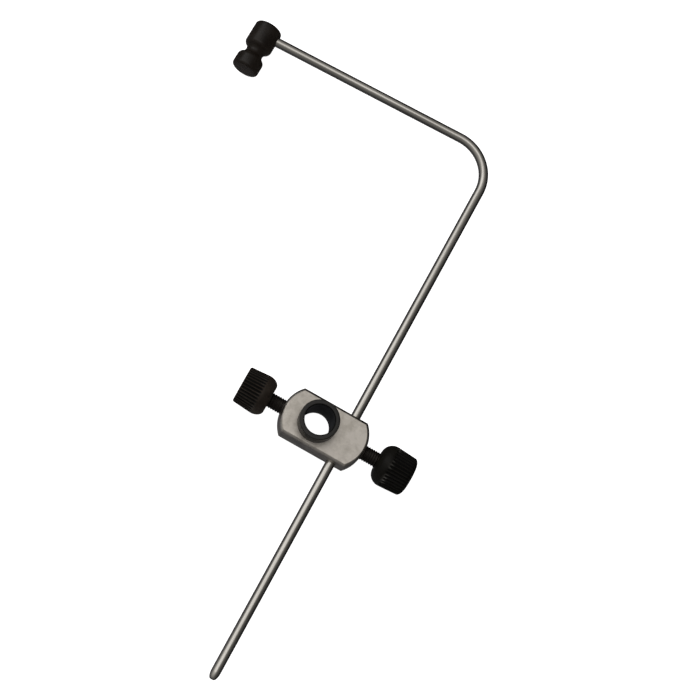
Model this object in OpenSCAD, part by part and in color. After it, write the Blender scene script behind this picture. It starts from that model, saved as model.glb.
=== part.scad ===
// Bobbin holder for a fly tying vise: a clamp block that slides on the vise's stem,
// a bent wire rod, a spool shaped rubber cradle at the rod's end, and two thumbscrews.
// The origin is on the stem's axis, half way up the block. +Z is along the stem,
// +X points along the block to the rod and its screw, +Y along the rod to its bend.

/* [Stem bush] */
// Diameter of the vise stem that the holder slides on
stem_d = 9.525; // [8:0.025:11]
// Radial clearance between the stem and the bush
stem_clearance = 0.06; // [0.05:0.01:0.1]
// Wall of the bush
bush_wall = 1.6; // [1.4:0.05:2.2]
// Height of the bush above the block
bush_rise = 5.5; // [1.5:0.1:7]
// Flare at the bush's lower mouth
bush_flare = 0.4; // [0.1:0.1:1.2]
// Broken edges at the bush's upper mouth and rim
bush_edge = 0.15; // [0.1:0.05:0.5]

/* [Clamp block] */
// Length over both rounded ends
block_length = 29.2; // [27:0.1:34]
// Width across the two flat sides
block_width = 16.1; // [15:0.1:18]
// Thickness
block_thickness = 8.5; // [7:0.1:12]
// Distance of the block's middle from the stem's axis
block_shift = 2.75; // [2:0.05:3.5]
// Radius of the rounded ends
end_radius = 11.5; // [10:0.1:13]
// Width of the broken edges
block_edge = 0.9; // [0.2:0.05:1.2]

/* [Rod] */
// Diameter of the wire
rod_d = 3.175; // [2.5:0.025:3.3]
// Radial clearance of the rod in the block
rod_clearance = 0.06; // [0.03:0.01:0.1]
// Distance of the rod from the stem's axis
rod_offset = 9.8; // [9.6:0.05:11]
// Rod from the block's middle to the corner where the leg and the arm would cross
leg_above = 109.8; // [60:0.1:150]
// Rod from the block's middle to its free end
leg_below = 85; // [30:0.5:120]
// Arm from that corner to the middle of the cradle
arm_length = 86.5; // [50:0.5:120]
// Radius of the bend, on the middle of the wire
bend_radius = 13.4; // [6:0.1:20]
// Angle that the wire is bent through
bend_angle = 92.4; // [80:0.1:100]
// Length that the free end is rounded over
rod_tip_length = 2.8; // [0.5:0.1:5]
// Diameter of the small flat at the very end
rod_tip_d = 1; // [0.4:0.1:2]

/* [Cradle] */
// Diameter of the body that is pushed on the rod
cradle_d = 9.4; // [7:0.1:12]
// Lean of the cradle out of square with the arm
cradle_lean = 3; // [0:0.5:6]
// Length of that body
cradle_length = 8.4; // [7:0.1:12]
// Distance of the rod from the body's outer end
cradle_seat = 3.3; // [2.4:0.1:4]
// Depth of the socket that holds the rod
cradle_socket = 6.4; // [4:0.1:7.5]
// Diameter of the neck that the bobbin's tube rests on
neck_d = 6; // [4:0.1:6.5]
// Radius of the groove round the neck
groove_radius = 2; // [1.5:0.1:3]
// Diameter of the flange below the neck
flange_d = 9.2; // [7:0.1:12]
// Length of that flange
flange_length = 4.8; // [3:0.1:8]
// Rounding of the body's and the flange's outer edges
cradle_round = 1; // [0.4:0.1:1.4]
// Rounding of the two lips of the groove
lip_round = 1.6; // [0.3:0.1:2]

/* [Clamp screws] */
// Thread diameter of the studs
thread_d = 5; // [4:0.1:5.5]
// Thread pitch
thread_pitch = 0.8; // [0.7:0.05:0.9]
// Radial clearance of the studs in the block
thread_clearance = 0.05; // [0.03:0.01:0.1]
// Radial clearance of a stud in its hole through the bush
bush_hole_clearance = 0.15; // [0.05:0.05:0.4]
// Length of the stem screw's stud that shows between the block and its head
stem_stud_show = 4.6; // [4.5:0.1:8]
// Length of the rod screw's stud that shows between the block and its head
rod_stud_show = 5; // [4.5:0.1:8]
// Distance from the bush's bore to the stem screw's tip inside the bush
stem_tip_back = 0.3; // [0.1:0.05:1]
// Gap between the rod and the rod screw's tip
rod_tip_gap = 0.1; // [0.05:0.01:0.2]
// Depth of the socket in a head that its stud sits in
head_socket = 6; // [4:0.1:8]
// Radial clearance of the stud in that socket
head_clearance = 0.03; // [0.02:0.01:0.1]

/* [Screw heads] */
// Number of grip ribs
rib_count = 36; // [30:1:44]
// Depth of the grooves between the ribs
rib_depth = 0.35; // [0.2:0.01:0.4]
// Stem screw's head: diameter at the shoulder, where the ribs start
stem_head_d = 13.2; // [11:0.1:16]
// Stem screw's head: diameter at the outer end
stem_end_d = 12.3; // [10.5:0.1:16]
// Stem screw's head: length of the rounded shoulder
stem_shoulder = 3.5; // [1.5:0.1:4]
// Stem screw's head: length of the ribbed grip
stem_grip = 6.7; // [6:0.1:12]
// Stem screw's head: diameter of the flat face at the stud
stem_face_d = 8.6; // [6:0.1:10]
// Stem screw's head: length of the rounding at the outer end
stem_dome = 0.6; // [0.2:0.1:2]
// Stem screw's head: width of that rounding
stem_dome_width = 0.7; // [0.2:0.1:4]
// Rod screw's head: diameter at the shoulder, where the ribs start
rod_head_d = 13.8; // [11:0.1:16]
// Rod screw's head: diameter at the outer end
rod_end_d = 13; // [10.5:0.1:16]
// Rod screw's head: length of the rounded shoulder
rod_shoulder = 3.9; // [1.5:0.1:5]
// Rod screw's head: length of the ribbed grip
rod_grip = 8.1; // [6:0.1:12]
// Rod screw's head: diameter of the flat face at the stud
rod_face_d = 6.4; // [6:0.1:9]
// Rod screw's head: length of the rounding at the outer end
rod_dome = 1.7; // [0.2:0.1:2.4]
// Rod screw's head: width of that rounding
rod_dome_width = 3.4; // [0.2:0.1:4]

/* [Hidden] */
$fn = 96;
// Steps in each rounded corner of a turned outline
round_steps = 6;
// How far a cut runs past the face that it opens
overrun = 1;
// Depth of a thread as a share of its pitch
thread_depth_share = 0.6134;

bore_r = stem_d / 2 + stem_clearance;
bush_r = bore_r + bush_wall;
block_bottom = -block_thickness / 2;
block_top = block_thickness / 2;
block_left = block_shift - block_length / 2;
block_right = block_shift + block_length / 2;
rod_r = rod_d / 2;
rod_tip_r = rod_tip_d / 2;
bend_run = bend_radius * tan(bend_angle / 2);
bend_start = leg_above - bend_run;
thread_r = thread_d / 2;
stud_edge = thread_pitch * thread_depth_share;
stem_tip_x = -(bore_r + stem_tip_back);
rod_tip_x = rod_offset + rod_r + rod_tip_gap;
// Where each head's shoulder face stands
stem_head_x = block_left - stem_stud_show;
rod_head_x = block_right + rod_stud_show;

// Points on an arc of radius r about c, from angle a to angle b
function arc(c, r, a, b) =
    [for (i = [0:round_steps]) let (t = a + (b - a) * i / round_steps)
        c + r * [cos(t), sin(t)]];

// The machined block

// Bar along X with broken edges, as long as the block and more
module edged_bar() {
    w = block_width / 2;
    h = block_thickness / 2;
    e = block_edge;
    translate([block_left - overrun, 0, 0])
        rotate([90, 0, 90])
            linear_extrude(block_length + 2 * overrun)
                polygon([[-w, e - h], [e - w, -h], [w - e, -h], [w, e - h],
                         [w, h - e], [w - e, h], [e - w, h], [-w, h - e]]);
}

// Disc with broken edges that gives a rounded end
module edged_disc() {
    h = block_thickness / 2;
    e = block_edge;
    rotate_extrude()
        polygon([[0, -h], [end_radius - e, -h], [end_radius, e - h],
                 [end_radius, h - e], [end_radius - e, h], [0, h]]);
}

// One half of the block: side is -1 at the stem screw's end and 1 at the rod screw's
module block_half(side) {
    intersection() {
        edged_bar();
        translate([block_shift + side * (block_length / 2 - end_radius), 0, 0]) edged_disc();
        translate([block_shift + side * block_length / 2, 0, 0])
            cube([block_length, 2 * block_width, 2 * block_thickness], center = true);
    }
}

module clamp_block() {
    color([0.72, 0.69, 0.65])
        difference() {
            union() {
                block_half(-1);
                block_half(1);
            }
            // Seat of the bush
            translate([0, 0, block_bottom - overrun])
                cylinder(h = block_thickness + 2 * overrun, r = bush_r);
            // Cross hole for the rod
            translate([rod_offset, block_width / 2 + overrun, 0])
                rotate([90, 0, 0])
                    cylinder(h = block_width + 2 * overrun, r = rod_r + rod_clearance);
            // Tapped hole for the stem screw
            translate([block_left - overrun, 0, 0])
                rotate([0, 90, 0])
                    cylinder(h = overrun - block_left, r = thread_r + thread_clearance);
            // Tapped hole for the rod screw
            translate([rod_offset, 0, 0])
                rotate([0, 90, 0])
                    cylinder(h = block_right - rod_offset + overrun, r = thread_r + thread_clearance);
        }
}

// Black sleeve pressed into the block: it lines the bore and stands above the face
module stem_bush() {
    top = block_top + bush_rise;
    e = bush_edge;
    color([0.13, 0.13, 0.13])
        difference() {
            rotate_extrude()
                polygon([[bore_r + bush_flare, block_bottom], [bush_r, block_bottom],
                         [bush_r, top - e], [bush_r - e, top],
                         [bore_r + e, top], [bore_r, top - e],
                         [bore_r, block_bottom + bush_flare]]);
            // Hole that lets the stem screw through to the stem
            rotate([0, -90, 0])
                cylinder(h = bush_r + overrun, r = thread_r + bush_hole_clearance);
        }
}

// The wire rod

// Straight leg through the block, from the free end to where the bend starts
module rod_leg() {
    color([0.62, 0.6, 0.57])
        translate([rod_offset, 0, 0])
            rotate([-90, 0, 0])
                rotate_extrude()
                    polygon(concat([[0, -leg_below]],
                        [for (i = [0:round_steps]) let (t = 90 * i / round_steps)
                            [rod_tip_r + (rod_r - rod_tip_r) * sin(t),
                             rod_tip_length * (1 - cos(t)) - leg_below]],
                        [[rod_r, bend_start], [0, bend_start]]));
}

// Puts its children in the bend's own frame, with the arm's straight part along +Y from Y = 0
module at_arm() {
    translate([rod_offset - bend_radius, bend_start, 0])
        rotate([0, 0, bend_angle])
            children();
}

// Puts its children at the middle of the cradle: +Y runs out along the arm,
// +X is square to it, away from the inside of the bend
module at_cradle() {
    at_arm()
        translate([bend_radius, arm_length - bend_run, 0])
            children();
}

// The bend and the arm, whose end fills the cradle's socket
module rod_arm() {
    color([0.62, 0.6, 0.57])
        at_arm()
            union() {
                rotate_extrude(angle = -bend_angle)
                    translate([bend_radius, 0])
                        circle(r = rod_r);
                translate([bend_radius, 0, 0])
                    rotate([-90, 0, 0])
                        cylinder(h = arm_length - bend_run - cradle_d / 2 + cradle_socket, r = rod_r);
            }
}

// Outline of the turned cradle, as [radius, height]: the rod crosses it at height 0
function cradle_outline() =
    let (body_r = cradle_d / 2,
         flange_r = flange_d / 2,
         neck_r = neck_d / 2,
         top = cradle_seat,
         groove_z = top - cradle_length - groove_radius,
         bottom = groove_z - groove_radius - flange_length,
         reach = groove_radius + lip_round,
         groove_c = [neck_r + groove_radius, groove_z],
         body_t = acos((groove_c[0] - body_r + lip_round) / reach),
         flange_t = acos((groove_c[0] - flange_r + lip_round) / reach))
    concat([[0, bottom]],
           arc([flange_r - cradle_round, bottom + cradle_round], cradle_round, -90, 0),
           arc([flange_r - lip_round, groove_z - reach * sin(flange_t)], lip_round, 0, flange_t),
           arc(groove_c, groove_radius, 180 + flange_t, 180 - body_t),
           arc([body_r - lip_round, groove_z + reach * sin(body_t)], lip_round, -body_t, 0),
           arc([body_r - cradle_round, top - cradle_round], cradle_round, 0, 90),
           [[0, top]]);

// Rubber spool on the end of the arm, which the bobbin's tube rests against
module cradle() {
    color([0.16, 0.15, 0.14])
        at_cradle()
            difference() {
                // The turned body leans so that its flange points a little outwards
                rotate([0, 90, -cradle_lean]) rotate_extrude() polygon(cradle_outline());
                rotate([90, 0, 0])
                    translate([0, 0, cradle_d / 2 - cradle_socket])
                        cylinder(h = cradle_socket + overrun, r = rod_r);
            }
}

// The two clamp screws

// Stud along +Z with broken edges, its tip at height 0
module stud(length) {
    e = stud_edge;
    rotate_extrude()
        polygon([[0, 0], [thread_r - e, 0], [thread_r, e],
                 [thread_r, length - e], [thread_r - e, length], [0, length]]);
}

// Head along +Z, its shoulder face at height 0: a rounded shoulder, a ribbed cone and a rounded end
module screw_head(head_d, end_d, shoulder, grip, face_d, dome, dome_width) {
    face_r = face_d / 2;
    full_r = head_d / 2;
    end_r = end_d / 2;
    top = shoulder + grip;
    taper = atan((full_r - end_r) / (grip - dome));
    difference() {
        rotate_extrude()
            polygon(concat([[0, 0]],
                [for (i = [0:round_steps]) let (t = 90 * i / round_steps)
                    [face_r + (full_r - face_r) * sin(t), shoulder * (1 - cos(t))]],
                [for (i = [0:round_steps]) let (t = 90 * i / round_steps)
                    [end_r - dome_width * (1 - cos(t)), top - dome * (1 - sin(t))]],
                [[0, top]]));
        // Grooves between the ribs, along the grip's taper
        for (i = [0:rib_count - 1])
            rotate([0, 0, i * 360 / rib_count])
                translate([full_r + rib_depth, 0, shoulder])
                    rotate([0, -taper, 0])
                        cylinder(h = grip + overrun, r = 2 * rib_depth, $fn = 4);
        // Socket for the stud
        translate([0, 0, -overrun])
            cylinder(h = head_socket + overrun, r = thread_r + head_clearance);
    }
}

// Puts its children with +Z out of the block's left end, height 0 at x
module facing_left(x) {
    translate([x, 0, 0]) rotate([0, -90, 0]) children();
}

// Puts its children with +Z out of the block's right end, height 0 at x
module facing_right(x) {
    translate([x, 0, 0]) rotate([0, 90, 0]) children();
}

module stem_screw_stud() {
    color([0.1, 0.1, 0.1])
        facing_left(stem_tip_x) stud(stem_tip_x - stem_head_x + head_socket);
}

module stem_screw_head() {
    color([0.14, 0.13, 0.12])
        facing_left(stem_head_x)
            screw_head(stem_head_d, stem_end_d, stem_shoulder, stem_grip,
                       stem_face_d, stem_dome, stem_dome_width);
}

module rod_screw_stud() {
    color([0.1, 0.1, 0.1])
        facing_right(rod_tip_x) stud(rod_head_x - rod_tip_x + head_socket);
}

module rod_screw_head() {
    color([0.14, 0.13, 0.12])
        facing_right(rod_head_x)
            screw_head(rod_head_d, rod_end_d, rod_shoulder, rod_grip,
                       rod_face_d, rod_dome, rod_dome_width);
}

clamp_block();
stem_bush();
rod_leg();
rod_arm();
cradle();
stem_screw_stud();
stem_screw_head();
rod_screw_stud();
rod_screw_head();
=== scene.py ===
from math import acos, atan2, cos, degrees, exp, hypot, pi, radians, sin, tan

import bpy
from mathutils import Matrix, Vector


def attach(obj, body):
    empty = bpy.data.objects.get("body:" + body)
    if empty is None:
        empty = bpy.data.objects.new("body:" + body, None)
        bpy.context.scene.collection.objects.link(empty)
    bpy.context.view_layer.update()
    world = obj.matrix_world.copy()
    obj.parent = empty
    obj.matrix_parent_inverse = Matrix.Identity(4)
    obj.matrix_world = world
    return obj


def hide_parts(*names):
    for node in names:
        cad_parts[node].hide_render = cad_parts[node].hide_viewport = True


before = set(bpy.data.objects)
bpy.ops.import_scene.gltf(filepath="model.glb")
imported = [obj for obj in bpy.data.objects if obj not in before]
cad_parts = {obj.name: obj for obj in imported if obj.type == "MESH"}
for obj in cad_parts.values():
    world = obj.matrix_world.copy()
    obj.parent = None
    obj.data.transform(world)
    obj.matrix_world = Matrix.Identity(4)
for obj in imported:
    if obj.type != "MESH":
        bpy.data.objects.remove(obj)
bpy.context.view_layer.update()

# Clamp block
# A short bar of aluminium with flat sides and rounded ends. It is milled, its edges are broken
# and it is tumbled to a satin grey. The bores for the bush, the rod and the two screws are
# drilled through it, so they are cut here as drills of the real sizes.
MM = 0.001
block_length, block_width, block_thickness = 29.2, 16.1, 8.5
block_middle = 2.75
end_radius, block_edge = 11.5, 0.9
edge_steps, edge_profile, edge_power = 8, 0.32, 1.64
block_left = block_middle - block_length / 2
block_right = block_middle + block_length / 2
seat_r, rod_hole_r, tapped_r = 6.4225, 1.6475, 2.55
rod_offset = 9.8
drill_run, drill_steps = 1, 128
bar_overrun = 4
disc_steps, disc_centre = 144, 0.01
weld = 0.001 * MM


def only(piece):
    if bpy.context.mode != "OBJECT":
        bpy.ops.object.mode_set(mode="OBJECT")
    bpy.ops.object.select_all(action="DESELECT")
    piece.select_set(True)
    bpy.context.view_layer.objects.active = piece


def settle(piece, turn=(0, 0, 0), place=(0, 0, 0)):
    """Turns a piece by degrees, puts it in its place in mm, and leaves its object at the origin."""
    only(piece)
    piece.rotation_euler = [radians(a) for a in turn]
    piece.location = Vector(place) * MM
    bpy.ops.object.transform_apply()


def smooth(piece, sharp_from):
    """Smooth shading, except at edges of more than that many degrees."""
    only(piece)
    bpy.ops.object.shade_smooth_by_angle(angle=radians(sharp_from))


def face_out():
    """Turns every face of the mesh being edited outwards, and ends the edit."""
    bpy.ops.mesh.select_all(action="SELECT")
    bpy.ops.mesh.normals_make_consistent(inside=False)
    bpy.ops.object.mode_set(mode="OBJECT")


def apply_modifier(piece, kind, **settings):
    only(piece)
    step = piece.modifiers.new(kind.lower(), kind)
    for name, value in settings.items():
        setattr(step, name, value)
    bpy.ops.object.modifier_apply(modifier=step.name)


def combine(piece, tool, operation):
    """Cuts a piece with a tool, or keeps what they share, and takes the tool away."""
    apply_modifier(piece, "BOOLEAN", operation=operation, solver="EXACT", object=tool)
    bpy.data.objects.remove(tool)


def round_bar(radius, start, length, turn, steps=96):
    """A closed bar in mm that starts at a place and runs along Z turned by degrees."""
    bpy.ops.mesh.primitive_circle_add(vertices=steps, radius=radius * MM, fill_type="NGON")
    bar = bpy.context.object
    bpy.ops.object.mode_set(mode="EDIT")
    bpy.ops.mesh.extrude_region_move(TRANSFORM_OT_translate={"value": (0, 0, length * MM)})
    face_out()
    settle(bar, turn, start)
    return bar


def arc(middle, radius, start, end, steps=8):
    """Points on an arc about (radius, height), between angles in degrees."""
    turns = [radians(start + (end - start) * i / steps) for i in range(steps + 1)]
    return [(middle[0] + radius * cos(a), middle[1] + radius * sin(a)) for a in turns]


def turned(name, outline, steps=128):
    """Traces (radius, height) points in mm by extruding one vertex, and spins the line about Z."""
    bpy.ops.object.select_all(action="DESELECT")
    bpy.ops.mesh.primitive_plane_add(size=MM)
    piece = bpy.context.object
    piece.name = name
    settle(piece, place=(outline[0][0], 0, outline[0][1]))
    bpy.ops.object.mode_set(mode="EDIT")
    bpy.ops.mesh.select_all(action="SELECT")
    bpy.ops.mesh.merge(type="CENTER")
    for (r, h), (next_r, next_h) in zip(outline, outline[1:]):
        run = ((next_r - r) * MM, 0, (next_h - h) * MM)
        bpy.ops.mesh.extrude_vertices_move(TRANSFORM_OT_translate={"value": run})
    bpy.ops.mesh.select_all(action="SELECT")
    bpy.ops.mesh.spin(steps=steps, angle=2 * pi, center=(0, 0, 0), axis=(0, 0, 1))
    bpy.ops.mesh.select_all(action="SELECT")
    bpy.ops.mesh.remove_doubles(threshold=weld)
    face_out()
    return piece


bpy.ops.object.select_all(action="DESELECT")
bpy.ops.mesh.primitive_cube_add(size=MM)
block = bpy.context.object
block.name = "block"
block.scale = (block_length + bar_overrun, block_width, block_thickness)
bpy.ops.object.transform_apply()
settle(block, place=(block_middle, 0, 0))
apply_modifier(block, "BEVEL", width=block_edge * MM, segments=edge_steps, profile=edge_profile,
               limit_method="ANGLE", angle_limit=radians(25))
half = block_thickness / 2
# The broken edge as the bevel makes it: nearly flat, with soft turns at both sides
soft = [(block_edge * (1 - sin(a) ** edge_power), block_edge * (1 - cos(a) ** edge_power))
        for a in map(radians, range(0, 91, 9))]
for side in (-1, 1):
    middle_x = block_middle + side * (block_length / 2 - end_radius)
    lower = [(end_radius - inward, upward - half) for inward, upward in soft]
    upper = [(end_radius - inward, half - downward) for downward, inward in soft]
    disc = turned("disc", [(0, -half), *lower, *upper, (0, half)], disc_steps)
    # The disc's half towards the block's other end is moved past it, so that it rounds one end only
    bpy.ops.object.mode_set(mode="EDIT")
    bpy.ops.mesh.select_mode(type="VERT")
    bpy.ops.mesh.select_all(action="DESELECT")
    bpy.ops.object.mode_set(mode="OBJECT")
    for v in disc.data.vertices:
        v.select = v.co.x / MM * side < -disc_centre
    bpy.ops.object.mode_set(mode="EDIT")
    bpy.ops.transform.translate(value=(-side * block_length * MM, 0, 0))
    bpy.ops.object.mode_set(mode="OBJECT")
    settle(disc, place=(middle_x, 0, 0))
    combine(block, disc, "INTERSECT")

for radius, start, length, turn in (
    (seat_r, (0, 0, -block_thickness), 2 * block_thickness, (0, 0, 0)),
    (rod_hole_r, (rod_offset, block_width, 0), 2 * block_width, (90, 0, 0)),
    (tapped_r, (block_left - drill_run, 0, 0), drill_run - block_left, (0, 90, 0)),
    (tapped_r, (rod_offset, 0, 0), block_right - rod_offset + drill_run, (0, 90, 0)),
):
    combine(block, round_bar(radius, start, length, turn, drill_steps), "DIFFERENCE")
only(block)
bpy.ops.object.mode_set(mode="EDIT")
bpy.ops.mesh.select_all(action="SELECT")
bpy.ops.mesh.dissolve_limited(angle_limit=radians(0.1))
bpy.ops.object.mode_set(mode="OBJECT")
smooth(block, 30)
apply_modifier(block, "WEIGHTED_NORMAL", mode="FACE_AREA", weight=80, keep_sharp=True)
# A band over the broken edges, painted lighter and made smoother: partly rubbed wear, partly a
# painted highlight where the edges catch the light.
rub_and_highlight = block.data.attributes.new("edge_rub_and_highlight", "FLOAT", "POINT")
for v in block.data.vertices:
    into_edge = (abs(v.co.z) / MM - block_thickness / 2 + block_edge) / block_edge
    rub_and_highlight.data[v.index].value = sin(pi * min(1, max(0, into_edge)))


class Wire:
    """An output socket in a material. Sums on it add Math nodes."""

    def __init__(self, tree, socket=None):
        self.tree, self.socket = tree, socket

    def node(self, kind, inputs, out=0, stops=None, **settings):
        made = self.tree.nodes.new("ShaderNode" + kind)
        for name, value in settings.items():
            setattr(made, name, value)
        for n, (place, colour) in enumerate(stops or ()):
            stop = made.color_ramp.elements[n] if n < 2 else made.color_ramp.elements.new(place)
            stop.position, stop.color = place, (*colour, 1)
        for name, value in inputs.items():
            if isinstance(value, Wire):
                self.tree.links.new(value.socket, made.inputs[name])
            else:
                made.inputs[name].default_value = value
        return Wire(self.tree, made.outputs[out])

    def math(self, operation, *values):
        return self.node("Math", dict(enumerate(values)), operation=operation)

    def __add__(self, other):
        return self.math("ADD", self, other)

    def __sub__(self, other):
        return self.math("SUBTRACT", self, other)

    def __rsub__(self, other):
        return self.math("SUBTRACT", other, self)

    def __mul__(self, other):
        return self.math("MULTIPLY", self, other)

    __radd__, __rmul__ = __add__, __mul__

    def clamp(self, low, high):
        """0 at low, 1 at high, straight between them."""
        return self.node("MapRange", {"Value": self, "From Min": low, "From Max": high})

    def spread(self):
        """Noise keeps near its middle; this makes it run from 0 to 1."""
        return self.clamp(0.3, 0.7)

    def mix(self, a, b):
        """Colour a where this is 0 and colour b where it is 1."""
        return self.node("Mix", {0: self, 6: a, 7: b}, out=2, data_type="RGBA")


def finish_of(name, pieces, **numbers):
    """A material on these pieces: the start of its wires and its shader, with even numbers set."""
    made = bpy.data.materials.new(name)
    made.use_nodes = True
    shader = made.node_tree.nodes["Principled BSDF"]
    for socket, value in numbers.items():
        shader.inputs[socket.replace("_", " ")].default_value = value
    for piece in pieces:
        piece.data.materials.clear()
        piece.data.materials.append(made)
    return Wire(made.node_tree), shader


def drive(start, shader, **wires):
    for socket, wire in wires.items():
        start.tree.links.new(wire.socket, shader.inputs[socket.replace("_", " ")])


def speckle(start, where, size, detail=2.0, stretch=(1, 1, 1)):
    """Noise with grains of about that size in mm, stretched along the axes."""
    scaled = start.node("Mapping", {"Vector": where, "Scale": stretch})
    return start.node("TexNoise", {"Vector": scaled, "Scale": 0.5 / (size * MM), "Detail": detail})


def bumps(start, height, depth, strength=0.5):
    """A normal from a height, where a height of 1 stands that depth in mm over 0."""
    return start.node("Bump", {"Strength": strength, "Distance": depth * MM, "Height": height})


start, shader = finish_of("satin_aluminium", [block], Metallic=1.0)
here = start.node("TexCoord", {}, out="Object")
cloud = speckle(start, here, size=3.4, detail=2).spread()
mottle = speckle(start, here, size=1.1, detail=3).spread()
grain = speckle(start, here, size=0.35, detail=3)
brushed = speckle(start, here, size=0.12, detail=2, stretch=(0.12, 1, 1))
rub_and_highlight = start.node("Attribute", {}, out="Fac", attribute_name="edge_rub_and_highlight")
# The broken edges get a lighter colour, partly for rubbed wear and partly as a painted highlight.
tone = (cloud * 0.4 + mottle * 0.35 + grain * 0.25).spread() + rub_and_highlight * 0.3
drive(start, shader,
      Base_Color=tone.mix((0.43, 0.40, 0.357, 1), (0.66, 0.62, 0.57, 1)),
      Roughness=0.30 + 0.12 * cloud + 0.06 * mottle + 0.08 * grain - 0.18 * rub_and_highlight,
      Normal=bumps(start, grain * 0.6 + brushed * 0.4, depth=0.014))
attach(block, "clamp")
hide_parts("clamp_block")

# Stem bush
# A black plastic sleeve that lines the bore, so that the vise's stem isn't scratched. It is
# turned, pressed into the block flush with its lower face, and stands above the upper one.
# The stem screw reaches the stem through a hole in its wall.
bore_r, bush_r, bush_bottom, bush_top = 4.8225, 6.4225, -4.25, 9.75
bush_flare, bush_round = 0.4, 0.25
screw_window_r, window_start, window_length = 2.65, -8, 5

bush = turned("bush", [
    (bore_r + bush_flare, bush_bottom), (bush_r, bush_bottom), (bush_r, 0),
    *arc((bush_r - bush_round, bush_top - bush_round), bush_round, 0, 90),
    *arc((bore_r + bush_round, bush_top - bush_round), bush_round, 90, 180),
    (bore_r, bush_bottom + bush_flare), (bore_r + bush_flare, bush_bottom)])
window = round_bar(screw_window_r, (window_start, 0, 0), window_length, (0, 90, 0))
combine(bush, window, "DIFFERENCE")
smooth(bush, 35)

start, shader = finish_of("turned_black_plastic", [bush], Specular_IOR_Level=0.06,
                          Coat_Roughness=0.2)
here = start.node("TexCoord", {}, out="Object")
cloud = speckle(start, here, size=1.6, detail=3).spread()
grain = speckle(start, here, size=0.2, detail=2)
height = start.node("SeparateXYZ", {"Vector": here}, out="Z")
rings = speckle(start, start.node("CombineXYZ", {"Z": height}), size=0.12, detail=2)
flat = start.node("VectorMath", {0: here, 1: (1, 1, 0)}, operation="MULTIPLY")
from_axis = start.node("VectorMath", {0: flat}, out="Value", operation="LENGTH")
# The inside of the bore is painted near black as painted shade, and the rim is handled bright
outside_bore_shade = from_axis.clamp((bore_r + 0.1) * MM, (bore_r + 0.5) * MM)
rim = height.clamp((bush_top - 0.35) * MM, (bush_top - 0.05) * MM)
tone = (cloud * 0.6 + grain * 0.4).mix((0.007, 0.006, 0.005, 1), (0.021, 0.0185, 0.016, 1))
drive(start, shader,
      # Inside the bore the colour is a painted shade, near black.
      Base_Color=outside_bore_shade.mix((0.0016, 0.0013, 0.001, 1), tone),
      Coat_Weight=outside_bore_shade * (0.12 + 0.3 * rim),
      Roughness=0.26 + 0.14 * cloud + 0.08 * grain,
      Normal=bumps(start, rings * 0.6 + grain * 0.4, depth=0.02))
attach(bush, "clamp")
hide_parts("stem_bush")

# Rod
# One piece of stainless wire 3.175 mm thick, drawn to a satin finish and bent once. The leg runs
# through the block and its free end is ground to a blunt round tip. The arm carries the cradle.
# The wire is two pieces here, because the arm turns with the leg's round bar as its axis.
rod_d = 3.175
rod_r = rod_d / 2
leg_above, leg_below, arm_length = 109.8, 85.0, 86.5
bend_radius, bend_angle = 13.4, 92.4
tip_length, tip_r = 2.8, 0.5
wire_steps = 64
bend_run = bend_radius * tan(radians(bend_angle / 2))
bend_start = leg_above - bend_run
cradle_d, cradle_socket = 9.4, 6.4
arm_straight = arm_length - bend_run - cradle_d / 2 + cradle_socket
bend_middle = Vector((rod_offset - bend_radius, bend_start, 0))

tip = [(tip_r + (rod_r - tip_r) * sin(radians(a)), tip_length * (1 - cos(radians(a))) - leg_below)
       for a in range(0, 91, 6)]
leg = turned("rod_leg_wire", [(0, -leg_below), *tip, (rod_r, bend_start), (0, bend_start)],
             wire_steps)
settle(leg, (-90, 0, 0), (rod_offset, 0, 0))

bpy.ops.object.select_all(action="DESELECT")
bpy.ops.mesh.primitive_circle_add(vertices=wire_steps, radius=rod_r * MM, fill_type="NGON")
arm = bpy.context.object
arm.name = "rod_arm_wire"
settle(arm, (90, 0, 0), (rod_offset, bend_start, 0))
bpy.ops.object.mode_set(mode="EDIT")
bpy.ops.mesh.select_mode(type="EDGE")
bpy.ops.mesh.select_all(action="SELECT")
bpy.ops.mesh.delete(type="ONLY_FACE")
bpy.ops.mesh.select_all(action="SELECT")
bpy.ops.mesh.spin(steps=wire_steps, angle=-radians(bend_angle), center=bend_middle * MM,
                  axis=(0, 0, 1))
along = Matrix.Rotation(radians(bend_angle), 3, "Z") @ Vector((0, 1, 0))
bpy.ops.mesh.extrude_region_move(TRANSFORM_OT_translate={"value": along * arm_straight * MM})
bpy.ops.mesh.select_all(action="DESELECT")
bpy.ops.mesh.select_mode(type="VERT")
bpy.ops.mesh.select_non_manifold()
bpy.ops.mesh.edge_face_add()
face_out()


def straightened(point):
    """Where a point in mm would be if the wire were drawn out straight along Y."""
    if point.y <= bend_start:
        return point - Vector((rod_offset, 0, 0))
    out = point - bend_middle
    turn = atan2(out.y, out.x)
    back = Matrix.Rotation(-radians(bend_angle), 3, "Z") @ out
    if back.y > 0:
        bend_end = bend_start + bend_radius * radians(bend_angle)
        return Vector((back.x - bend_radius, bend_end + back.y, point.z))
    return Vector((hypot(out.x, out.y) - bend_radius, bend_start + bend_radius * turn, point.z))


for piece in (leg, arm):
    smooth(piece, 30)
    drawn = piece.data.attributes.new("drawn_out", "FLOAT_VECTOR", "POINT")
    for v in piece.data.vertices:
        drawn.data[v.index].vector = straightened(v.co / MM) * MM

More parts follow.
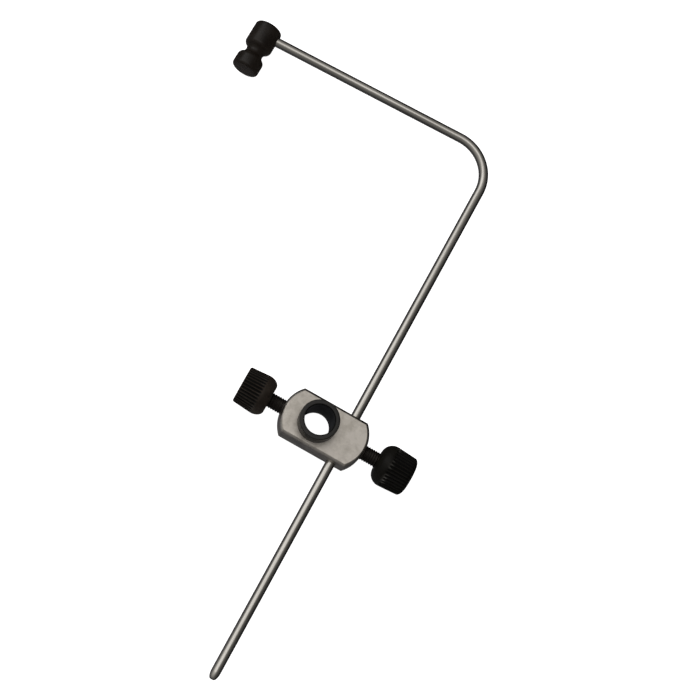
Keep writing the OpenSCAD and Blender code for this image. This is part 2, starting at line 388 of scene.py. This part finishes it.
start, shader = finish_of("drawn_steel_wire", [leg, arm], Metallic=1.0)
here = start.node("Attribute", {}, out="Vector", attribute_name="drawn_out")
streaks = speckle(start, here, size=0.42, detail=4, stretch=(1, 0.012, 1)).clamp(0.32, 0.68)
fine = speckle(start, here, size=0.06, detail=2, stretch=(1, 0.05, 1))
patches = speckle(start, here, size=2.4, detail=3, stretch=(1, 0.2, 1)).spread()
tone = streaks * 0.65 + patches * 0.35
drive(start, shader,
      Base_Color=tone.mix((0.275, 0.262, 0.241, 1), (0.55, 0.53, 0.497, 1)),
      Roughness=0.13 + 0.08 * streaks + 0.06 * patches,
      Normal=bumps(start, streaks * 0.5 + fine * 0.5, depth=0.008))
for piece, body, node in ((leg, "leg", "rod_leg"), (arm, "arm", "rod_arm")):
    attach(piece, body)
    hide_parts(node)

# Cradle
# A spool of black rubber that the tube of a bobbin rests against. It is moulded in one piece,
# a body with a groove and a flange, and pushed on the end of the arm, which fills its socket.
cradle_length, cradle_seat, cradle_lean = 8.4, 3.3, 3.0
neck_d, groove_radius, flange_d, flange_length = 6.0, 2.0, 9.2, 4.8
cradle_round, lip_round = 1.0, 1.6
socket_overrun, cradle_steps = 2, 160

body_r, flange_r = cradle_d / 2, flange_d / 2
groove_h = cradle_seat - cradle_length - groove_radius
groove_middle = (neck_d / 2 + groove_radius, groove_h)
flange_bottom = groove_h - groove_radius - flange_length
reach = groove_radius + lip_round
body_t = degrees(acos((groove_middle[0] - body_r + lip_round) / reach))
flange_t = degrees(acos((groove_middle[0] - flange_r + lip_round) / reach))
cradle = turned("cradle_spool", [
    (0, flange_bottom),
    *arc((flange_r - cradle_round, flange_bottom + cradle_round), cradle_round, -90, 0),
    *arc((flange_r - lip_round, groove_h - reach * sin(radians(flange_t))), lip_round, 0, flange_t),
    *arc(groove_middle, groove_radius, 180 + flange_t, 180 - body_t, 16)[1:-1],
    *arc((body_r - lip_round, groove_h + reach * sin(radians(body_t))), lip_round, -body_t, 0),
    *arc((body_r - cradle_round, cradle_seat - cradle_round), cradle_round, 0, 90),
    (0, cradle_seat)], cradle_steps)
cradle_place = bend_middle + Matrix.Rotation(radians(bend_angle), 3, "Z") @ Vector(
    (bend_radius, arm_length - bend_run, 0))
settle(cradle, (0, 90, bend_angle - cradle_lean), cradle_place)
socket_floor = cradle_place + along * (cradle_socket - body_r)
socket = round_bar(rod_r, socket_floor, cradle_socket + socket_overrun, (90, 0, bend_angle),
                   wire_steps)
combine(cradle, socket, "DIFFERENCE")
smooth(cradle, 40)

start, shader = finish_of("moulded_black_rubber", [cradle], Specular_IOR_Level=0.2)
here = start.node("TexCoord", {}, out="Object")
cloud = speckle(start, here, size=2.2, detail=3).spread()
grain = speckle(start, here, size=0.25, detail=3)
tone = cloud * 0.5 + grain * 0.5
drive(start, shader,
      Base_Color=tone.mix((0.0065, 0.0047, 0.0034, 1), (0.023, 0.0172, 0.0132, 1)),
      Roughness=0.16 + 0.14 * cloud + 0.08 * grain,
      Normal=bumps(start, cloud * 0.4 + grain * 0.6, depth=0.03, strength=0.6))
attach(cradle, "arm")
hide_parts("cradle")

# Studs of the two clamp screws
# M5 studs of blackened steel with a rolled thread of 0.8 mm pitch. Their inner tips clamp the
# stem and the rod, and their outer ends are fixed in the heads.
thread_r, pitch = 2.5, 0.8
thread_depth, end_cone = 0.25, 0.49
thread_start, spare_turns = -2.013, 5
wave_steps, stud_steps = 12, 48
stem_tip_gap, rod_tip_gap = 0.3, 0.1
stem_head_gap, rod_head_gap = 4.6, 5.0
head_socket = 6.0
stem_tip_x, rod_tip_x = -(bore_r + stem_tip_gap), rod_offset + rod_r + rod_tip_gap
stem_head_x, rod_head_x = block_left - stem_head_gap, block_right + rod_head_gap


def stud(name, length):
    """A threaded stud in mm along Z, its tip at height 0."""
    root_r, start_z = thread_r - thread_depth, thread_start * pitch
    bpy.ops.object.select_all(action="DESELECT")
    bpy.ops.mesh.primitive_plane_add(size=MM)
    piece = bpy.context.object
    piece.name = name
    settle(piece, place=(root_r, 0, start_z))
    bpy.ops.object.mode_set(mode="EDIT")
    bpy.ops.mesh.select_all(action="SELECT")
    bpy.ops.mesh.merge(type="CENTER")
    # A rounded wave for one turn of the rolled thread: root, flank, crest, flank
    wave = [thread_depth * (1 - cos(2 * pi * i / wave_steps)) / 2 for i in range(wave_steps + 1)]
    for low, high in zip(wave, wave[1:]):
        step = ((high - low) * MM, 0, pitch / wave_steps * MM)
        bpy.ops.mesh.extrude_vertices_move(TRANSFORM_OT_translate={"value": step})
    bpy.ops.object.mode_set(mode="OBJECT")
    turns = int(length / pitch) + spare_turns
    apply_modifier(piece, "SCREW", angle=2 * pi, screw_offset=pitch * MM, iterations=turns,
                   steps=stud_steps, render_steps=stud_steps)
    bpy.ops.object.mode_set(mode="EDIT")
    bpy.ops.mesh.select_all(action="SELECT")
    bpy.ops.mesh.remove_doubles(threshold=2 * weld)
    for height, side in ((0, -1), (length, 1)):
        bpy.ops.mesh.select_all(action="SELECT")
        bpy.ops.mesh.bisect(plane_co=(0, 0, height * MM), plane_no=(0, 0, side), use_fill=True,
                            clear_outer=True, threshold=0.00001 * MM)
    face_out()
    # The ends are turned down to a short cone
    for v in piece.data.vertices:
        most = (thread_r - end_cone + min(v.co.z, length * MM - v.co.z) / MM) * MM
        out = hypot(v.co.x, v.co.y)
        if out > most:
            v.co.x, v.co.y = v.co.x * most / out, v.co.y * most / out
    smooth(piece, 40)
    return piece


stem_stud = stud("stem_stud", stem_tip_x - stem_head_x + head_socket)
settle(stem_stud, (0, -90, 0), (stem_tip_x, 0, 0))
rod_stud = stud("rod_stud", rod_head_x - rod_tip_x + head_socket)
settle(rod_stud, (0, 90, 0), (rod_tip_x, 0, 0))

start, shader = finish_of("blackened_steel", [stem_stud, rod_stud], Metallic=0.75)
here = start.node("TexCoord", {}, out="Object")
cloud = speckle(start, here, size=0.9, detail=3).spread()
grain = speckle(start, here, size=0.15, detail=2)
tone = cloud * 0.5 + grain * 0.5
drive(start, shader,
      Base_Color=tone.mix((0.013, 0.0105, 0.009, 1), (0.038, 0.032, 0.028, 1)),
      Roughness=0.36 + 0.14 * cloud,
      Normal=bumps(start, grain, depth=0.01))
for piece, body, node in ((stem_stud, "stem_stud", "stem_screw_stud"),
                          (rod_stud, "rod_stud", "rod_screw_stud")):
    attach(piece, body)
    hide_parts(node)

# Heads of the two clamp screws
# Black plastic moulded over the ends of the studs, with fine straight ribs for the fingers
# and a smooth rounded shoulder towards the block. The stem screw's head is a little smaller
# and flat at its end, and the rod screw's is domed.
rib_count, rib_depth, rib_fade = 36, 0.36, 0.9
rib_lead, rib_reach_share, rib_steps = 0.3, 0.8, 12
# Where the painted highlight on the rib crests sits above the shoulder, and how wide it is.
glint_height, glint_width = 0.5, 0.6
curve_steps, side_steps = 14, 24
socket_r = 2.53


def head(name, wide_d, end_d, shoulder, grip, face_d, dome, dome_width):
    """A head in mm along Z, its shoulder face at height 0."""
    face_r, wide_r, end_r, top = face_d / 2, wide_d / 2, end_d / 2, shoulder + grip
    rises = [radians(90 / curve_steps * i) for i in range(curve_steps + 1)]
    outline = [(0, head_socket), (socket_r, head_socket), (socket_r, 0)]
    outline += [(face_r + (wide_r - face_r) * sin(a), shoulder * (1 - cos(a))) for a in rises]
    outline += [(wide_r + (end_r - wide_r) * i / side_steps,
                 shoulder + (grip - dome) * i / side_steps) for i in range(1, side_steps)]
    outline += [(end_r - dome_width * (1 - cos(a)), top - dome * (1 - sin(a))) for a in rises]
    piece = turned(name, outline + [(0, top)], rib_steps * rib_count)
    grooves = piece.vertex_groups.new(name="grooves")
    for v in piece.data.vertices:
        x, y, z = v.co / MM
        if z < shoulder - rib_lead or hypot(x, y) < end_r - dome_width * rib_reach_share:
            continue
        fade_in = min(1, max(0, (z - shoulder + rib_lead) / rib_fade))
        fade_out = min(1, max(0, (top - z) / (rib_reach_share * dome)))
        ripple = (1 + cos(atan2(y, x) * rib_count)) / 2
        grooves.add([v.index], fade_in * fade_out * ripple, "REPLACE")
    apply_modifier(piece, "DISPLACE", vertex_group="grooves", mid_level=0, strength=-rib_depth * MM)
    # The groove depth, which the material also uses to paint the grooves dark as painted shade.
    groove_shade = piece.data.attributes.new("groove", "FLOAT", "POINT")
    # A band just above the shoulder where the rib crests get a painted highlight, glints painted
    # into the colour.
    painted_glint = piece.data.attributes.new("painted_glint", "FLOAT", "POINT")
    for v in piece.data.vertices:
        groove_shade.data[v.index].value = v.groups[0].weight if v.groups else 0
        from_edge = (v.co.z / MM - shoulder - glint_height) / glint_width
        painted_glint.data[v.index].value = exp(-from_edge * from_edge)
    smooth(piece, 50)
    return piece


stem_knob = head("stem_knob", wide_d=13.2, end_d=12.3, shoulder=3.5, grip=6.7, face_d=8.6,
                 dome=0.6, dome_width=0.7)
settle(stem_knob, (0, -90, 0), (stem_head_x, 0, 0))
rod_knob = head("rod_knob", wide_d=13.8, end_d=13, shoulder=3.9, grip=8.1, face_d=6.4,
                dome=1.7, dome_width=3.4)
settle(rod_knob, (0, 90, 0), (rod_head_x, 0, 0))

# The stem head's plastic is given a lighter tone than the rod head's.
for piece, name, dark, light, glint_strength in (
    (stem_knob, "lighter_black_grip", (0.006, 0.0047, 0.0036, 1), (0.045, 0.034, 0.026, 1), 0.35),
    (rod_knob, "moulded_black_grip", (0.0028, 0.0025, 0.0018, 1), (0.011, 0.010, 0.0076, 1), 1.0),
):
    start, shader = finish_of(name, [piece], Specular_IOR_Level=0.12)
    here = start.node("TexCoord", {}, out="Object")
    cloud = speckle(start, here, size=1.8, detail=3).spread()
    grain = speckle(start, here, size=0.18, detail=3)
    patch = speckle(start, here, size=2.2, detail=2).clamp(0.46, 0.6)
    groove_shade = start.node("Attribute", {}, out="Fac", attribute_name="groove").clamp(0.05, 0.5)
    painted_glint = start.node("Attribute", {}, out="Fac", attribute_name="painted_glint")
    # Painted highlight: glints on the rib crests near the shoulder, in patches, strongest on the
    # rod head.
    painted_glint = painted_glint * patch * (1 - groove_shade) * glint_strength
    # The grooves are painted near black, as painted shade between the ribs.
    tone = groove_shade.mix((cloud * 0.5 + grain * 0.5).mix(dark, light), (0.002, 0.0017, 0.0015, 1))
    drive(start, shader,
          Base_Color=painted_glint.mix(tone, (0.10, 0.096, 0.088, 1)),
          Roughness=0.30 + 0.12 * cloud + 0.10 * grain + 0.2 * groove_shade,
          Normal=bumps(start, grain, depth=0.02, strength=0.6))
for piece, body, node in ((stem_knob, "stem_head", "stem_screw_head"),
                          (rod_knob, "rod_head", "rod_screw_head")):
    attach(piece, body)
    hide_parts(node)

# Floor
# A wide table of white acrylic, lit from below, that the holder lies on. The metal doesn't
# mirror it, because the dark edges of the real wire show a darker room there.
floor_z = -6.9
floor_metres = 6
bpy.ops.object.select_all(action="DESELECT")
bpy.ops.mesh.primitive_plane_add(size=floor_metres)
floor = bpy.context.object
floor.name = "floor"
settle(floor, place=(0, 0, floor_z))
bpy.ops.object.mode_set(mode="EDIT")
bpy.ops.mesh.select_all(action="SELECT")
bpy.ops.mesh.subdivide(number_cuts=3)
bpy.ops.object.mode_set(mode="OBJECT")
floor.visible_glossy = False
start, shader = finish_of("white_acrylic", [floor], Roughness=0.8, Emission_Color=(1, 1, 1, 1),
                          Emission_Strength=0.97)
here = start.node("TexCoord", {}, out="Object")
haze = speckle(start, here, size=60, detail=3)
drive(start, shader, Base_Color=haze.mix((0.90, 0.90, 0.90, 1), (0.93, 0.93, 0.93, 1)))

# Light and camera
# A dim studio: a broad soft glow over the picture's upper left corner that fades towards the
# right and the horizon, a softbox on the same side and one overhead, and a long lens almost
# straight above.
room = bpy.data.worlds.new("room")
bpy.context.scene.world = room
room.use_nodes = True
sky = Wire(room.node_tree)
view = sky.node("TexCoord", {}, out="Generated")
way = sky.node("VectorMath", {0: view}, operation="NORMALIZE")
apart = [sky.node("SeparateXYZ", {"Vector": way}, out=axis) for axis in "XYZ"]
tint = sky.node("ValToRGB", {"Fac": apart[2].clamp(-1, 1)}, stops=[
    (0, (0.92, 0.93, 1.0)), (1, (1.0, 0.975, 0.935)), (0.45, (0.95, 0.96, 1.0)),
    (0.62, (1.0, 0.99, 0.965))])
shade = sky.node("ValToRGB", {"Fac": apart[2].clamp(-1, 1)}, stops=[
    (0, (0.12, 0.12, 0.12)), (1, (0.30, 0.30, 0.30)), (0.3, (0.075, 0.075, 0.075)),
    (0.5, (0.13, 0.13, 0.13)), (0.6, (0.20, 0.20, 0.20)), (0.75, (0.25, 0.25, 0.25))])
glow_way = Vector((-0.40, 0.10, 0.91)).normalized()
toward = sky.node("VectorMath", {0: way, 1: glow_way}, out="Value", operation="DOT_PRODUCT")
glow = toward.clamp(0.35, 1)
behind = apart[1].clamp(0, 1) * (1 - apart[2])
level = 0.9 * (shade * (1 - 0.6 * apart[0]) * (1 - 0.75 * behind) + 0.45 * glow * glow)
background = room.node_tree.nodes["Background"]
room.node_tree.links.new(tint.socket, background.inputs["Color"])
room.node_tree.links.new(level.socket, background.inputs["Strength"])


def softbox(name, way, reach, width, height, power):
    """An area light out along way, in metres, that faces the holder."""
    lamp = bpy.data.lights.new(name, "AREA")
    lamp.shape, lamp.size, lamp.size_y, lamp.energy = "RECTANGLE", width, height, power
    box = bpy.data.objects.new(name, lamp)
    bpy.context.collection.objects.link(box)
    box.location = Vector(way).normalized() * reach
    box.rotation_euler = Vector(way).to_track_quat("Z", "Y").to_euler()


softbox("key", way=(-0.66, 0.30, 0.69), reach=0.9, width=0.5, height=0.7, power=1.0)
softbox("top", way=(-0.10, 0.10, 0.98), reach=1.0, width=0.5, height=0.5, power=0.6)

focal_pixels, picture_pixels, sensor_mm = 2039.7, 700, 36
camera_metres = 0.65
aim = Vector((-2.04, 27.13, 0)) * MM
away = Vector((-0.03, -0.28, 0.9595)).normalized()
upright = Vector((-0.4931, 0.8392, 0.2295))
right = upright.cross(away).normalized()
upright = away.cross(right)
lens = bpy.data.cameras.new("camera")
lens.sensor_width = sensor_mm
lens.lens = focal_pixels * sensor_mm / picture_pixels
lens.clip_start, lens.clip_end = 0.01, 20
camera = bpy.data.objects.new("camera", lens)
bpy.context.collection.objects.link(camera)
turn = Matrix((right, upright, away)).transposed()
camera.matrix_world = Matrix.Translation(aim + away * camera_metres) @ turn.to_4x4()
bpy.context.scene.camera = camera
bpy.context.scene.view_settings.view_transform = "Standard"
